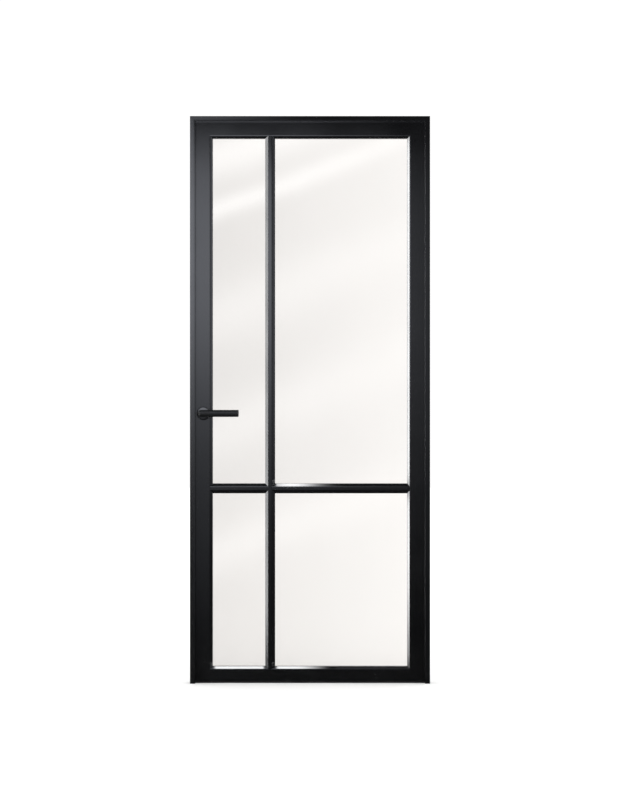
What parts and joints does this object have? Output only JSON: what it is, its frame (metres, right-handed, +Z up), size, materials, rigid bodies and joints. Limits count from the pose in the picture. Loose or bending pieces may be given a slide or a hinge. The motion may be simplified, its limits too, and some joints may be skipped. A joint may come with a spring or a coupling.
{
  "type": "interior door",
  "caption": "Glazed interior door in its slim rebated frame: hollow stiles, rails and glazing bars hold clear panes, and a lever handle draws the latch.",
  "frame": {"origin": "on the floor, midway between the jambs, at the middle of the closed leaf's thickness", "axes": "+X towards the hinges, +Y through the doorway to the side that the leaf swings to, +Z up"},
  "size_m": [0.902, 0.16, 2.132],
  "materials": {
    "frame_paint": "satin",
    "leaf_paint": "satin",
    "bead_paint": "satin",
    "glass": "gloss",
    "gasket_rubber": "matte",
    "seal_rubber": "matte",
    "hinge_black": "satin",
    "cleat_aluminium": "satin",
    "black_screw": "satin",
    "zinc_steel": "satin",
    "satin_steel": "satin",
    "spring_steel": "satin",
    "handle_black": "matte",
    "black_plastic": "matte",
    "block_plastic": "matte"
  },
  "bodies": {
    "frame": {"jamb_lock_side": "frame_paint", "jamb_hinge_side": "frame_paint", "frame_head": "frame_paint", "stop_seal_lock_side": "seal_rubber", "stop_seal_hinge_side": "seal_rubber", "stop_seal_head": "seal_rubber", "frame_corner_cleats": "cleat_aluminium", "frame_cleat_screws": "black_screw", "strike_plate": "satin_steel", "strike_box": "black_plastic", "hinge_bottom_frame_leaf": "hinge_black", "hinge_middle_frame_leaf": "hinge_black", "hinge_top_frame_leaf": "hinge_black", "hinge_pins": "hinge_black", "frame_hardware_screws": "black_screw"},
    "leaf": {"bar_tenons": "cleat_aluminium", "beads_lower_left": "bead_paint", "beads_lower_right": "bead_paint", "beads_upper_left": "bead_paint", "beads_upper_right": "bead_paint", "bottom_rail": "leaf_paint", "corner_blocks": "cleat_aluminium", "corner_screws": "zinc_steel", "cross_bar_left": "leaf_paint", "cross_bar_right": "leaf_paint", "gasket_lower_left": "gasket_rubber", "gasket_lower_right": "gasket_rubber", "gasket_upper_left": "gasket_rubber", "gasket_upper_right": "gasket_rubber", "glass_lower_left": "glass", "glass_lower_right": "glass", "glass_upper_left": "glass", "glass_upper_right": "glass", "hinge_bottom_door_leaf": "hinge_black", "hinge_middle_door_leaf": "hinge_black", "hinge_top_door_leaf": "hinge_black", "latch_spring": "spring_steel", "leaf_hardware_screws": "black_screw", "lock_case": "zinc_steel", "lock_cover": "zinc_steel", "lock_faceplate": "satin_steel", "return_spring": "spring_steel", "rosette_back": "handle_black", "rosette_base_back": "black_plastic", "rosette_base_front": "black_plastic", "rosette_bolts": "zinc_steel", "rosette_front": "handle_black", "screw_hole_plugs": "black_plastic", "setting_blocks": "block_plastic", "stile_end_caps": "black_plastic", "stile_hinge_side": "leaf_paint", "stile_lock_side": "leaf_paint", "top_rail": "leaf_paint", "vertical_bar": "leaf_paint"},
    "handle": {"lever_front": "handle_black", "lever_back": "handle_black", "spindle": "zinc_steel", "follower": "zinc_steel", "lever_grub_screws": "black_screw"},
    "latch": {"latch_bolt": "satin_steel"}
  },
  "joints": [
    {"name": "leaf_swing", "type": "hinge", "parent": "frame", "child": "leaf", "pos_m": [0.4415, 0.027, 1.065], "axis": [0, 0, -1], "range_deg": [0, 170]},
    {"name": "handle_turn", "type": "hinge", "parent": "leaf", "child": "handle", "pos_m": [-0.401, 0, 1.015], "axis": [0, 1, 0], "range_deg": [0, 45], "stiffness_Nm_per_rad": 2, "springref_deg": -34.38, "deforming": ["return_spring"]},
    {"name": "latch_slide", "type": "slide", "parent": "leaf", "child": "latch", "axis": [1, 0, 0], "range_m": [0, 0.0095], "stiffness_N_per_m": 250, "springref_m": -0.012, "deforming": ["latch_spring"]}
  ],
  "couplings": [
    {"joint": "latch_slide", "follows": "handle_turn", "m_per_rad": 0.01209}
  ]
}
